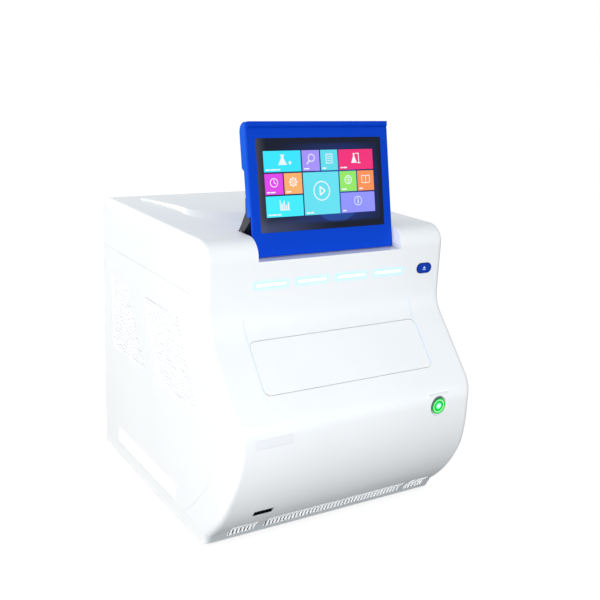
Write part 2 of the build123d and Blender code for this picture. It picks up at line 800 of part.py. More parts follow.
def rocker_switch():
    """Housing of the mains switch, open to the back."""
    y = rear_plate_y[1]
    body = block(span(rocker_x, 14), (y - 18, y + 0.5), span(inlet_z, 28))
    flange = block(span(rocker_x, 17), (y, y + 1.6), span(inlet_z, 31))
    body = body + flange
    return body - block(span(rocker_x, 11.4), (y - 10, y + 5), span(inlet_z, 25))


def power_rocker():
    """Mains rocker, resting with its upper half out."""
    y = rear_plate_y[1]
    half = 11.4
    outline = Polyline((y - 4, -half), (y + 1.6, -half), (y + 0.4, 0), (y + 1.6, half), (y - 4, half),
                       (y - 8, 3), (y - 8, -3), close=True)
    rocker = extrude(Plane.YZ * make_face(outline), 5.4, both=True)
    return Pos(rocker_x, 0, inlet_z) * rotated_about(rocker, y - 4, rocker_angle / 2)


rocker_angle = 10


def rotated_about(shape, y, degrees):
    """Turned about a line along X at a depth y and height 0."""
    return Pos(0, y, 0) * Rot(degrees, 0, 0) * Pos(0, -y, 0) * shape


def fan_frame():
    """Square fan housing with three arms that carry the motor."""
    y = (rear_plate_y[0] - fan_thickness, rear_plate_y[0])
    frame = block(span(0, fan_size), y, span(0, fan_size))
    frame = chamfer(frame.edges().filter_by(Axis.Y), 3)
    frame -= rod_y(fan_size / 2 - 1.5, 0, (y[0] - 1, y[1] + 1), 0)
    arms = extrude(Plane.XZ.offset(-y[0]) * RegularPolygon(17, 6), -4)
    for n in range(3):
        arm = block((0, fan_size / 2), (y[0], y[0] + 3), (-3, 3))
        arms += Rot(0, 120 * n + 30, 0) * arm
    pin = rod_y(2, 0, (y[0] + 3, y[0] + 18), 0)
    return frame + arms + pin


blades = 5


def fan_rotor():
    """Hub with five blades, turning on the pin of the frame."""
    y = rear_plate_y[0] - fan_thickness
    rotor = extrude(Plane.XZ.offset(-y - 4.5) * RegularPolygon(15, 2 * blades), -15.5)
    blade = extrude(Plane.XY.offset(13) * Pos(0, y + 13) * Rot(0, 0, 38) * Rectangle(19, 1.6), 23.5)
    for n in range(blades):
        rotor += Rot(0, 360 / blades * n, 0) * blade
    return rotor - rod_y(2 + running_fit, 0, (y + 4, y + 19), 0)


def save_controls():
    save("standby_bezel", standby_bezel())
    save("standby_cap", standby_cap())
    save("drawer_button", drawer_button())
    save("drawer_button_switch", drawer_button_switch())
    save("usb_socket", usb_socket())
    save("power_inlet", power_inlet())
    save("rocker_switch", rocker_switch())
    save("power_rocker", power_rocker())
    for name, x in (("left", -fan_x), ("right", fan_x)):
        place = Pos(x, 0, fan_z)
        save(f"fan_frame_{name}", place * fan_frame())
        save(f"fan_rotor_{name}", place * fan_rotor())


# ---------------------------------------------------------------- covers and feet
def save_covers():
    save("main_cover", main_cover())
    panel = side_panel()
    save("side_panel_right", panel)
    save("side_panel_left", mirrored(panel))
    save("base_tray", base_tray())
    save("rear_panel", rear_panel())
    save("front_grille", front_grille())
    save("label_plate", label_pocket(0))
    foot = rod_z(13, 0, 0, (0, foot_height))
    save("feet", Part() + [Pos(x, y, 0) * foot for x in (-140, 140) for y in (-110, 180)])


os.makedirs("parts", exist_ok=True)
save_covers()
save_screen()
save_drawer()
save_chassis()
save_instruments()
save_electronics()
save_controls()
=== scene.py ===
# %% [markdown]
# # A benchtop sequencer, dressed for its studio picture
# The packed model gives every part at its real size and place. This lesson loads it as a fixed frame,
# sets up the camera, the lamps and the floor, and then gives each part the finish that the real one has.
# New pieces are added where the object carries detail that is too fine for the solid model, such as the
# pictures on the screen, the rings of the lit button and the heads of the screws at the back.

# %% Load the frame
import math

import bmesh
import bpy
from mathutils import Matrix, Vector


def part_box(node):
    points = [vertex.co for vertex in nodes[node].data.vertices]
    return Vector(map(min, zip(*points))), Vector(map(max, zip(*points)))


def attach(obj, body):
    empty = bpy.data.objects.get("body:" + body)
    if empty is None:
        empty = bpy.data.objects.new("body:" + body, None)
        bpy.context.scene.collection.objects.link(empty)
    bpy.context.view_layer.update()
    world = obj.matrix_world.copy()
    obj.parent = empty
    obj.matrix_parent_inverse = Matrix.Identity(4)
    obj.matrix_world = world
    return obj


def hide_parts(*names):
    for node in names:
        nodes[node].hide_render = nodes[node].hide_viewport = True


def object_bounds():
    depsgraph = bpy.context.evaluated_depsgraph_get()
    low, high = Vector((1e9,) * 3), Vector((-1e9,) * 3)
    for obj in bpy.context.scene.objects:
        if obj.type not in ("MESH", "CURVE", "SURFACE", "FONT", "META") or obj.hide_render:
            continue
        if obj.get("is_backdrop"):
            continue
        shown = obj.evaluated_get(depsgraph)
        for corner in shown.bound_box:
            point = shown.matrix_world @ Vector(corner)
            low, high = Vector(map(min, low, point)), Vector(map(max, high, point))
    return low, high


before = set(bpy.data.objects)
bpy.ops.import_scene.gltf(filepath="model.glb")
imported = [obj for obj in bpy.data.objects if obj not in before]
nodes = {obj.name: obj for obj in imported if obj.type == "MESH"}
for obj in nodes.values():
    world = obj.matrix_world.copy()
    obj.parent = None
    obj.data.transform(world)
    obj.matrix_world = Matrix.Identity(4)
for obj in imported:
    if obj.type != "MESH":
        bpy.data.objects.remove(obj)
cad_box = [list(corner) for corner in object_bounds()]
scene = bpy.context.scene
scene.view_settings.view_transform = "Standard"
print(len(nodes), "parts,", [round(b - a, 3) for a, b in zip(*cad_box)], "m over all")

# %% [markdown]
# ## Camera
# A camera that stands left of the object and a little above it shows the front, the left side and a sliver
# of the top. It is placed by its position and three angles: the turn about the vertical, the downward tilt
# and a small roll. The angles are multiplied in that order, so the roll happens about the line of sight.

# %% Place the camera
camera_place = Vector((-0.6146, -1.0334, 0.6027))
camera_turn = math.radians(-32.14)
camera_tilt = math.radians(15.61)
camera_roll = math.radians(2.62)
camera_lens = 53.52

camera_data = bpy.data.cameras.new("camera")
camera_data.lens = camera_lens
camera = bpy.data.objects.new("camera", camera_data)
scene.collection.objects.link(camera)
turn = Matrix.Rotation(camera_turn, 4, "Z")
tilt = Matrix.Rotation(math.pi / 2 - camera_tilt, 4, "X")
roll = Matrix.Rotation(camera_roll, 4, "Z")
camera.matrix_world = Matrix.Translation(camera_place) @ turn @ tilt @ roll
scene.camera = camera
print("camera looks along", [round(x, 3) for x in camera.matrix_world.to_3x3() @ Vector((0, 0, -1))])

# %% [markdown]
# ## Floor
# The object stands on a plain sheet, which is there to take its shadow. One square is enough. It is so wide
# that its far edge never shows, and it is given to the stage, so that it isn't counted as part of the object.

# %% Build the floor
floor_half = 6.0
floor_mesh = bpy.data.meshes.new("floor")
floor_bm = bmesh.new()
bmesh.ops.create_grid(floor_bm, x_segments=1, y_segments=1, size=floor_half)
floor_bm.to_mesh(floor_mesh)
floor_bm.free()
floor = bpy.data.objects.new("floor", floor_mesh)
scene.collection.objects.link(floor)
floor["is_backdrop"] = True
print("floor", 2 * floor_half, "m wide")

# %% [markdown]
# ## Shader arithmetic
# Blender's shaders are graphs. Long formulas are easier to read as text, so a wire, which is one output of a
# node, is wrapped in a small class that adds a Math node for each sign written in Python.

# %% Wires
class Wire:
    """One output of a shader node. Sums and products of wires become Math nodes."""

    def __init__(self, graph, socket):
        self.graph = graph
        self.socket = socket

    def sibling(self, name):
        """Another output of the same node."""
        return Wire(self.graph, self.socket.node.outputs[name])

    def combine(self, operation, *values):
        return self.graph.add("ShaderNodeMath", {"operation": operation}, dict(enumerate(values)))

    def __add__(self, other):
        return self.combine("ADD", self, other)

    def __radd__(self, other):
        return self.combine("ADD", other, self)

    def __sub__(self, other):
        return self.combine("SUBTRACT", self, other)

    def __rsub__(self, other):
        return self.combine("SUBTRACT", other, self)

    def __mul__(self, other):
        return self.combine("MULTIPLY", self, other)

    __rmul__ = __mul__

    def __truediv__(self, other):
        return self.combine("DIVIDE", self, other)

    def magnitude(self):
        return self.combine("ABSOLUTE", self)

    def above(self, other):
        return self.combine("MAXIMUM", self, other)

    def below(self, other):
        return self.combine("MINIMUM", self, other)

    def power(self, other):
        return self.combine("POWER", self, other)

    def wrap(self, span):
        """What is left when whole spans are taken off."""
        return self.combine("WRAP", self, span, 0.0)

    def smooth(self, low, high):
        """0 below low, 1 above high and a soft step between them."""
        settings = {"interpolation_type": "SMOOTHSTEP"}
        limits = {"Value": self, "From Min": low, "From Max": high}
        return self.graph.add("ShaderNodeMapRange", settings, limits)

    def fade(self, low, high):
        """1 below low, 0 above high and a soft step between them."""
        return 1.0 - self.smooth(low, high)

    def between(self, low, high, soft):
        """1 from low to high and 0 outside, with a soft step after each."""
        return self.smooth(low, low + soft) * self.fade(high, high + soft)


def distance(across, upward):
    """Length of a line from its two sides."""
    return (across.power(2.0) + upward.power(2.0)).power(0.5)


print("signs and functions:", len([name for name in vars(Wire) if callable(getattr(Wire, name))]))

# %% [markdown]
# Every other node comes from one method, which takes the node's type, its settings and what goes into its
# sockets. The world and the materials are both graphs of nodes, so both share it. A material adds a surface
# shader to that, and short ways to set its sockets.

# %% Graphs and finishes
class Graph:
    """The nodes of a world or a material."""

    def __init__(self, tree):
        self.tree = tree
        tree.nodes.clear()

    def add(self, kind, settings=None, inputs=None, output=0):
        node = self.tree.nodes.new(kind)
        for key, value in (settings or {}).items():
            if key == "stops":
                self.set_stops(node.color_ramp, value)
            else:
                setattr(node, key, value)
        self.feed(node, inputs)
        return Wire(self, node.outputs[output]) if len(node.outputs) else None

    def set_stops(self, ramp, stops):
        while len(ramp.elements) < len(stops):
            ramp.elements.new(1.0)
        for element, (place, colour) in zip(ramp.elements, stops):
            element.position = place
            element.color = (*colour, 1.0)

    def feed(self, node, inputs):
        """Links the wires among the inputs and sets the rest as plain values."""
        for key, value in (inputs or {}).items():
            if isinstance(value, Wire):
                self.tree.links.new(value.socket, node.inputs[key])
            else:
                node.inputs[key].default_value = value


class Finish(Graph):
    """A material with its surface shader."""

    def __init__(self, name, shader="ShaderNodeBsdfPrincipled"):
        self.material = bpy.data.materials.new(name)
        self.material.use_nodes = True
        super().__init__(self.material.node_tree)
        self.surface = self.add(shader)
        self.add("ShaderNodeOutputMaterial", None, {"Surface": self.surface})

    def shade(self, **values):
        """Sets the sockets of the surface shader, as base_color=(...) or roughness=wire."""
        named = {key.replace("_", " ").title().replace("Ior", "IOR"): value for key, value in values.items()}
        self.feed(self.surface.socket.node, named)
        return self

    def place(self):
        """The point on the object, in metres: the vector, and its three parts as wires."""
        point = self.add("ShaderNodeTexCoord", output="Object")
        part = self.add("ShaderNodeSeparateXYZ", None, {0: point})
        return point, [part.sibling(axis) for axis in "XYZ"]

    def noise(self, point, scale, detail=2.0):
        return self.add("ShaderNodeTexNoise", None, {"Vector": point, "Scale": scale, "Detail": detail})

    def mix(self, factor, first, second):
        """Blends two colours, each (r, g, b) or a wire."""
        colours = [value if isinstance(value, Wire) else (*value, 1.0) for value in (first, second)]
        return self.add("ShaderNodeMix", {"data_type": "RGBA"}, {0: factor, 6: colours[0], 7: colours[1]}, 2)

    def tint(self, factor, colour):
        """Blends a colour over the base colour that the surface has so far."""
        so_far = Wire(self, self.surface.socket.node.inputs["Base Color"].links[0].from_socket)
        return self.shade(base_color=self.mix(factor, so_far, colour))

    def bump(self, height, strength, reach):
        inputs = {"Strength": strength, "Distance": reach, "Height": height}
        return self.add("ShaderNodeBump", None, inputs)


def rgb(*screen_values):
    """A colour written as screen values from 0 to 255, turned into the linear values of shaders."""
    return tuple(x / 255 / 12.92 if x <= 10 else ((x / 255 + 0.055) / 1.055) ** 2.4 for x in screen_values)


print("white 250 is", round(rgb(250, 250, 250)[0], 3), "in linear light")

# %% [markdown]
# ## Light
# A studio picture on white needs a floor that looks white to the camera but still takes the shadow of the
# object. For the camera the floor is white paper with a white glow mixed over most of it, so the shadow
# stays soft and faint. For all other rays it is dark, so it throws no light back up at the nose.

# %% Give the floor its finish
floor_glow = 0.82
floor_bounce = 0.03
paper_white = 0.95
glow_strength = 1.1


def seen_directly(graph):
    """1 for rays straight from the camera, also through clear parts, and 0 for all others."""
    camera_ray = graph.add("ShaderNodeLightPath", output="Is Camera Ray")
    return camera_ray.above(camera_ray.sibling("Is Transmission Ray"))


floor_finish = Finish("studio_floor", "ShaderNodeMixShader")
plain = floor_finish.add("ShaderNodeBsdfDiffuse", None, {"Color": (*[floor_bounce] * 3, 1)})
paper = floor_finish.add("ShaderNodeBsdfDiffuse", None, {"Color": (*[paper_white] * 3, 1)})
glow = floor_finish.add("ShaderNodeEmission", None, {"Color": (1, 1, 1, 1), "Strength": glow_strength})
seen_floor = floor_finish.add("ShaderNodeMixShader", None, {0: floor_glow, 1: paper, 2: glow})
floor_finish.feed(floor_finish.surface.socket.node, {0: seen_directly(floor_finish), 1: plain, 2: seen_floor})
floor_mesh.materials.append(floor_finish.material)
print("floor glow", floor_glow)

# %% [markdown]
# The world is done the same way: pure white for the camera, and a mild, slightly blue light for the object.
# That light gets weaker towards the zenith, so the top of the casing isn't lit more than its sides.

# %% Light the world
horizon_strength = 0.77
zenith_gain = -0.22
sky_colour = (0.93, 0.97, 1.0, 1)

world = bpy.data.worlds.new("studio")
scene.world = world
world.use_nodes = True
studio = Graph(world.node_tree)
direction = studio.add("ShaderNodeTexCoord", output="Generated")
height = studio.add("ShaderNodeSeparateXYZ", None, {0: direction}, "Z")
sky_strength = height * zenith_gain + horizon_strength
sky = studio.add("ShaderNodeBackground", None, {"Color": sky_colour, "Strength": sky_strength})
card = studio.add("ShaderNodeBackground", None, {"Color": (1, 1, 1, 1), "Strength": 1.0})
background = studio.add("ShaderNodeMixShader", None, {0: seen_directly(studio), 1: sky, 2: card})
studio.add("ShaderNodeOutputWorld", None, {"Surface": background})
print("sky from", horizon_strength, "at the horizon to", round(horizon_strength + zenith_gain, 2), "above")

# %% [markdown]
# Four soft boxes do the rest. The strong one stands at the left, where the long side is almost burnt out. A
# weak one lifts the sloping face, a small low one the nose, and the one behind the top and the rear edge.

# %% Set the lamps
def lamp(name, place, target, size, power, colour=(0.965, 0.985, 1.0)):
    """Square soft box that points at a target."""
    data = bpy.data.lights.new(name, "AREA")
    data.size = size
    data.energy = power
    data.color = colour
    soft_box = bpy.data.objects.new(name, data)
    scene.collection.objects.link(soft_box)
    soft_box.location = place
    aim = Vector(target) - Vector(place)
    soft_box.rotation_euler = aim.to_track_quat("-Z", "Y").to_euler()
    print(name, "at", place, power, "W")


middle = (0, 0, 0.22)
lamp("left", (-2.9, 0.2, 0.5), middle, 1.2, 56, (1.0, 0.995, 0.985))
lamp("front", (-0.5, -2.6, 0.65), middle, 1.2, 7)
lamp("low_front", (-0.7, -1.9, 0.17), (0, 0, 0.15), 0.3, 20)
lamp("rear", (-0.5, 2.5, 1.6), (0, 0, 0.4), 1.2, 35)

# %% [markdown]
# ## Finishes
# The casing is moulded in a white plastic with a satin surface. Under raking light such a moulding shows a
# very fine grain from the mould and faint, wide unevenness, so the finish has both: a small bump for the
# grain and slow changes of gloss. The same function makes every plastic, with its own colour and gloss.

# %% Plastics
casing_white = rgb(247, 248, 249)
cloud_scale, gloss_scale, grain_scale = 9.0, 60.0, 2600.0
gloss_change = 0.08
grain_height = 0.0001


def plastic(name, colour, gloss, grain=0.12, drift=0.012, coat=0.0):
    """Moulded plastic: a base colour that drifts a little, a fine grain and an optional clear coat."""
    finish = Finish(name)
    point, _ = finish.place()
    cloud = finish.noise(point, cloud_scale)
    darker = tuple(max(c - drift, 0.0) for c in colour)
    base = finish.mix(cloud.smooth(0.35, 0.65), darker, colour)
    rough = finish.noise(point, gloss_scale) * gloss_change + (gloss - gloss_change / 2)
    speckle = finish.noise(point, grain_scale, 1.0)
    finish.shade(base_color=base, roughness=rough, coat_weight=coat, coat_roughness=0.12)
    return finish.shade(normal=finish.bump(speckle, grain, grain_height))


def casing_plastic(name):
    return plastic(name, casing_white, 0.42, coat=0.08)


def dress(finish, *names):
    """Gives CAD parts a finish in every slot."""
    for name in names:
        for slot in nodes[name].material_slots:
            slot.material = finish.material
    print(finish.material.name, "on", len(names))


dress(casing_plastic("casing_white"), "drawer_front")
dress(plastic("bezel_blue", rgb(0, 66, 199), 0.5, grain=0.10, drift=0.002).shade(specular_ior_level=0.08),
      "screen_bezel")
dress(plastic("housing_blue", rgb(0, 88, 210), 0.45, grain=0.10, drift=0.002).shade(specular_ior_level=0.15),
      "screen_rear_housing")
dress(plastic("black_plastic", rgb(24, 25, 27), 0.5), "fan_frame_left", "fan_frame_right",
      "fan_rotor_left", "fan_rotor_right", "rocker_switch", "power_rocker", "power_inlet",
      "display_module", "drawer_button_switch", "heated_cover")
dress(plastic("tray_grey", rgb(92, 97, 102), 0.42), "drawer_tray")
dress(plastic("foot_rubber", rgb(28, 28, 29), 0.75, grain=0.4), "feet")
dress(plastic("plate_white", rgb(242, 243, 246), 0.3, grain=0.05), "label_plate")

# %% [markdown]
# The strip of the base tray below the fins lies in the shade of the nose, and a painted shade, a darker
# grey-teal in its colour, stands for it. The hand grip low in each side panel is the opposite case: light is
# caught and scattered between its white walls, and a faint painted glow lifts whatever lies deeper than the
# panel's outer face, up to the grip's top.

# %% Base tray and side panels
nose_front, nose_back = -0.150, -0.138
strip_low, strip_high = 0.006, 0.022
tray = casing_plastic("base_white")
_, (_, tray_y, tray_z) = tray.place()
painted_nose_shade = tray_y.fade(nose_front, nose_back) * (1.0 - tray_z.smooth(strip_low, strip_high) * 0.5)
# painted shade: the strip under the nose is tinted darker grey-teal
dress(tray.tint(painted_nose_shade * 0.75, rgb(150, 164, 170)), "base_tray")

panel_face = 0.1795
grip_top = 0.0480
panel = casing_plastic("side_white")
_, (panel_x, _, panel_z) = panel.place()
painted_grip_glow = (panel_face - panel_x.magnitude()).smooth(0.0, 0.002) * panel_z.fade(grip_top, grip_top + 0.0004)
# painted glow: an emission lifts the grip's hollow, deeper than the panel's face
panel.shade(emission_color=panel.mix(painted_grip_glow, (0, 0, 0), (1.0, 1.0, 0.98)), emission_strength=0.13)
dress(panel, "side_panel_left", "side_panel_right")

# %% [markdown]
# ### The lit front
# Four light bars shine out of the upper front, and their light spills onto the white plastic as a pale cyan
# halo. The halo is painted light in the cover's own colour and glow: a formula gives the distance from a
# point on the cover to the nearest bar, and the painted glow falls off with it. The bars repeat at an even
# pitch, so one bar's distance formula serves all four once the coordinate is wrapped.

# %% Distance from the light bars
guide_low, guide_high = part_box("light_guide")
bar_z = (guide_low.z + guide_high.z) / 2
bar_pitch = 0.0588
bar_half = 0.0218
bar_half_height = 0.002
halo_reach = 0.0085


def from_bar_middle(x):
    """Distance along X from the middle of the nearest bar."""
    return ((x + 2 * bar_pitch).wrap(bar_pitch) - bar_pitch / 2).magnitude()


def spread(x, z):
    """Strength of the cyan halo at a point: 1 at a bar and 0 beyond its reach."""
    past_side = (x.magnitude() - 2 * bar_pitch).fade(0.0, 0.002)
    past_end = (from_bar_middle(x) - bar_half).above(0.0)
    past_edge = ((z - bar_z).magnitude() - bar_half_height).above(0.0)
    return distance(past_end, past_edge).fade(0.0, halo_reach) * past_side


print("bars at height", round(bar_z, 4))

# %% [markdown]
# The cover carries two more things. The notch in its top, in which the screen is hinged, gets a faint painted
# glow for the light that bounces about between its white walls. And the two upright sides of the drawer's
# seam get painted pale blue light, in colour and glow, for the lit inside that the eye sees past the edge of
# the drawer front.

# %% Cover
front_face_y = -0.126
notch_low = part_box("main_cover")[1].z - 0.0277
notch_half = 0.1072
notch_front, notch_back = -0.1284, -0.0680
seam_inner, seam_outer = 0.1256, 0.1261
seam_front_y = -0.130
seam_low, seam_full = 0.20, 0.22
painted_seam_blue = rgb(150, 190, 238)

cover = casing_plastic("cover_white")
_, (cover_x, cover_y, cover_z) = cover.place()
from_middle = cover_x.magnitude()
halo = spread(cover_x, cover_z) * cover_y.fade(front_face_y, front_face_y + 0.002)
painted_notch_glow = from_middle.fade(notch_half, notch_half + 0.0003) * cover_z.smooth(notch_low, notch_low + 0.0004)
painted_notch_glow = painted_notch_glow * cover_y.between(notch_front, notch_back, 0.0004)
painted_seam_light = from_middle.between(seam_inner, seam_outer, 0.0002) * cover_z.smooth(seam_low, seam_full)
painted_seam_light = painted_seam_light * cover_y.fade(seam_front_y, seam_front_y + 0.001)

# painted light in the colour: the cyan halo of the bars, then the pale blue light of the seam
cover.tint(halo.power(2.0) * 0.5, rgb(170, 240, 255)).tint(painted_seam_light * 0.8, painted_seam_blue)
glow = cover.mix(halo.power(2.4) * 0.5, (0, 0, 0), rgb(90, 220, 255))
# painted glow: white in the notch, pale blue on the two sides of the seam
glow = cover.mix(painted_notch_glow * 0.36, glow, (1, 1, 1))
glow = cover.mix(painted_seam_light * 0.8, glow, painted_seam_blue)
dress(cover.shade(emission_color=glow, emission_strength=0.4), "main_cover")

# %% [markdown]
# The bars themselves are brightest along their middle line. Their strength is one number for the whole
# finish, and the colour carries the change from the edge to the core.

# %% Light bars
edge_strength, core_strength = 0.75, 1.35
bars = Finish("light_bars")
_, (bar_x, _, bar_height) = bars.place()
to_end = bar_half - from_bar_middle(bar_x)
core = (bar_height - bar_z).magnitude().fade(0.0006, 0.0022) * to_end.smooth(0.0, 0.003)
bar_colour = bars.mix(core, rgb(176, 236, 254), rgb(250, 255, 255))
share = (core * (core_strength - edge_strength) + edge_strength) / core_strength
bars.shade(base_color=bar_colour, roughness=0.3, emission_color=bars.mix(share, (0, 0, 0), bar_colour),
           emission_strength=core_strength)
dress(bars, "light_guide")

# %% [markdown]
# ### Metals
# Brushed and coated metals differ in their roughness and in how fine lines run over them. Bright steel gets a
# stretched noise, as drawn rods and sheets have, and the powder-coated sheets get a pebbled bump.

# %% Metal finishes
line_gloss = 0.16
line_shade = 0.92
line_height = 0.0002


def metal(name, colour, gloss, metallic=1.0, stretch=(1, 1, 1), scale=120.0, strength=0.08):
    """Metal whose fine lines change its colour, its gloss and its relief together."""
    finish = Finish(name)
    point, _ = finish.place()
    drawn = finish.add("ShaderNodeVectorMath", {"operation": "MULTIPLY"}, {0: point, 1: stretch})
    lines = finish.noise(drawn, scale)
    rough = lines * line_gloss + (gloss - line_gloss / 2)
    base = finish.mix(lines, tuple(c * line_shade for c in colour), colour)
    finish.shade(base_color=base, metallic=metallic, roughness=rough)
    return finish.shade(normal=finish.bump(lines, strength, line_height))


steel = metal("bright_steel", rgb(198, 200, 204), 0.28, stretch=(1, 0.1, 1), scale=500.0)
dress(steel, "drawer_screw", "lift_screw", "optics_screw", "lift_posts", "optics_rods", "hinge_pins",
      "rail_member_left", "rail_member_right")
dress(metal("anodised_aluminium", rgb(205, 207, 210), 0.38, scale=300.0),
      "plate_nest", "thermal_block", "heat_sink")
dress(metal("coated_sheet", rgb(214, 217, 219), 0.5, metallic=0.0, scale=900.0, strength=0.2),
      "rear_panel", "chassis_floor", "side_frame_left", "side_frame_right", "drawer_deck",
      "optics_bridge", "lift_plate", "rail_channels", "power_supply")
dress(metal("black_coated_metal", rgb(30, 31, 34), 0.42, metallic=0.0, scale=700.0, strength=0.15),
      "hinge_arm_left", "hinge_arm_right", "hinge_bracket_left", "hinge_bracket_right",
      "drawer_motor", "lift_motor", "optics_motor", "optics_head")
dress(metal("circuit_board", rgb(24, 92, 58), 0.45, metallic=0.0, scale=160.0, strength=0.3),
      "main_board", "display_board", "light_board")

# %% [markdown]
# ### Sockets and the pill-shaped button
# The pair of sockets is one part with a pale frame and a dark mouth. The mouth lies square to the slanting
# nose, so the finish first turns a point into its depth behind the frame and its rise along it. Whatever is
# inside the slot or deeper than the frame is dark.

# %% Sockets
socket_place = Vector((-0.12, -0.1835, 0.0565))
socket_out = Vector((0, -0.8215, -0.5703))
slot_half, slot_half_height = 0.0134, 0.0050
frame_depth = 0.0012

sockets = Finish("socket_frame")
_, (socket_x, socket_y, socket_z) = sockets.place()
ahead, aloft = socket_y - socket_place.y, socket_z - socket_place.z
depth = ahead * -socket_out.y + aloft * -socket_out.z
rise = ahead * socket_out.z + aloft * -socket_out.y
inside = (socket_x - socket_place.x).magnitude().fade(slot_half, slot_half + 0.0002)
inside = inside * rise.magnitude().fade(slot_half_height, slot_half_height + 0.0002)
dark = inside.above(depth.smooth(frame_depth, frame_depth + 0.0006))
sockets.shade(base_color=sockets.mix(dark, rgb(240, 243, 246), rgb(9, 10, 11)), roughness=0.4)
dress(sockets, "usb_socket")

# %% [markdown]
# The pill-shaped button has painted shade round its edge, a darker blue where its face bends away. A pill is
# all that lies within one distance of a short line, its spine, so the distance from the spine tells how near
# the edge is.

# %% Pill-shaped button
pill_low, pill_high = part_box("drawer_button")
pill = (pill_low + pill_high) / 2
pill_width, _, pill_height = pill_high - pill_low
blue_button = plastic("button_blue", rgb(18, 62, 172), 0.3, drift=0.004, coat=0.4)
_, (pill_x, _, pill_z) = blue_button.place()
past_spine = ((pill_x - pill.x).magnitude() - (pill_width - pill_height) / 2).above(0.0)
from_edge = distance(past_spine, pill_z - pill.z) - pill_height / 2
# painted shade: darker blue round the edge of the face
dress(blue_button.tint(from_edge.smooth(-0.0022, -0.0004) * 0.7, rgb(8, 34, 120)), "drawer_button")

# %% [markdown]
# ## The screen
# The touch glass is a dark sheet over a lit display. What it shows is built as real pieces a tenth of a
# millimetre proud of the glass: coloured tiles, white pictures on them and short pale bars that stand for
# captions. To place them, the screen's own frame of reference is worked out from the glass: its first axis
# runs to the right, the second up the glass and the third out of it.

# %% The frame of the glass
screen_lean = math.radians(11.5)
lean_sine, lean_cosine = math.sin(screen_lean), math.cos(screen_lean)
glass_thickness = 0.0016
glass_low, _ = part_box("touch_glass")
up_glass = Vector((0, lean_sine, lean_cosine))
out_of_glass = Vector((0, -lean_cosine, lean_sine))
glass_corner = Vector((0, glass_low.y, glass_low.z + glass_thickness * lean_sine))
glass_frame = Matrix((Vector((1, 0, 0)), up_glass, out_of_glass)).transposed().to_4x4()
glass_frame = Matrix.Translation(glass_corner) @ glass_frame
print("glass from", [round(c, 4) for c in glass_corner])

# %% [markdown]
# The picture behind the tiles is dark blue with a wide, soft light and one large pale disc in it. The glass
# also carries a painted reflection of the room at its left and lower edges. All of it is emission, the
# picture because a display makes its own light and the reflection as painted light, and all of it fades out
# before the dark margin round the lit area.

# %% Dark glass with a soft blue picture behind it
disc_x, disc_up = 0.02, 0.047
disc_radius = 0.0385
wash_reach = 0.11
lit_half = 0.0845

glass = Finish("display_glass")
_, (glass_x, glass_y, glass_z) = glass.place()
up_place = (glass_y - glass_corner.y) * lean_sine + (glass_z - glass_corner.z) * lean_cosine
from_disc = distance(glass_x - disc_x, up_place - disc_up)
lit_area = glass_x.magnitude().fade(lit_half, lit_half + 0.004) * up_place.between(0.006, 0.104, 0.006)
wash = from_disc.fade(0.0, wash_reach) * lit_area
pale_disc = from_disc.fade(disc_radius, disc_radius + 0.002) * lit_area
painted_reflection_left = glass_x.fade(-0.0935, -0.0775)
painted_reflection_low = up_place.fade(0.004, 0.022) * glass_x.fade(-0.09, 0.02)

picture = glass.mix(wash * 0.8, rgb(17, 22, 40), rgb(34, 62, 150))
picture = glass.mix(pale_disc * 0.55, picture, rgb(44, 92, 190))
# painted reflections of the room at the left and lower edges of the glass
picture = glass.mix(painted_reflection_left * 0.45, picture, rgb(104, 100, 112))
picture = glass.mix(painted_reflection_low * 0.5, picture, rgb(92, 104, 150))
glass.shade(base_color=(0.004, 0.005, 0.009, 1), roughness=0.12, specular_ior_level=0.12)
dress(glass.shade(emission_color=picture, emission_strength=0.8), "touch_glass")

# %% [markdown]
# ### Tiles
# A tile is a square-cornered slab. Six columns and three rows of equal cells make the grid; wide and large
# tiles cover two or four cells. Each begins as a cube from bmesh, is scaled to its size and moved to its
# place on the glass.

# %% Helpers for slabs on the glass
def piece(name, shape, finish, body):
    """Makes an object from a bmesh, with its place in its mesh, and fastens it to a body of the frame."""
    mesh = bpy.data.meshes.new(name)
    shape.to_mesh(mesh)
    shape.free()
    mesh.materials.append(finish.material)
    made = bpy.data.objects.new(name, mesh)
    scene.collection.objects.link(made)
    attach(made, body)
    return made


def slab(shape, low, high, matrix):
    """Adds a box between two corners to a bmesh, seen in the frame given by the matrix."""
    low, high = Vector(low), Vector(high)
    place = matrix @ Matrix.Translation((low + high) / 2) @ Matrix.Diagonal((*(high - low), 1))
    bmesh.ops.create_cube(shape, size=1, matrix=place)


def tidy_normals(shape):
    """Turns all faces outwards, in case an extrusion or a spin has turned a part inside out."""
    bmesh.ops.recalc_face_normals(shape, faces=shape.faces)


print("helpers ready")

# %% [markdown]
# The table of tiles gives each one's name, its column and row, its width and height in cells and its colour.
# A tile is lit from behind, so its colour goes into the emission and its base colour is almost black.

# %% Lay the tiles
cell = 0.02735
tile_size = 0.0256
grid_left = -0.0834
grid_low = 0.0183
tile_lift = 0.0001
tiles = [("report", 0, 2, 2, 1, rgb(50, 222, 246)), ("search", 2, 2, 1, 1, rgb(158, 140, 240)),
         ("notes", 3, 2, 1, 1, rgb(92, 212, 226)), ("chart", 4, 2, 2, 1, rgb(234, 42, 116)),
         ("clock", 0, 1, 1, 1, rgb(214, 66, 226)), ("wheel", 1, 1, 1, 1, rgb(247, 170, 100)),
         ("play", 2, 0, 2, 2, rgb(96, 216, 232)), ("globe", 4, 1, 1, 1, rgb(142, 222, 100)),
         ("book", 5, 1, 1, 1, rgb(238, 140, 82)), ("bars", 0, 0, 2, 1, rgb(60, 228, 250)),
         ("info", 4, 0, 2, 1, rgb(140, 142, 244))]


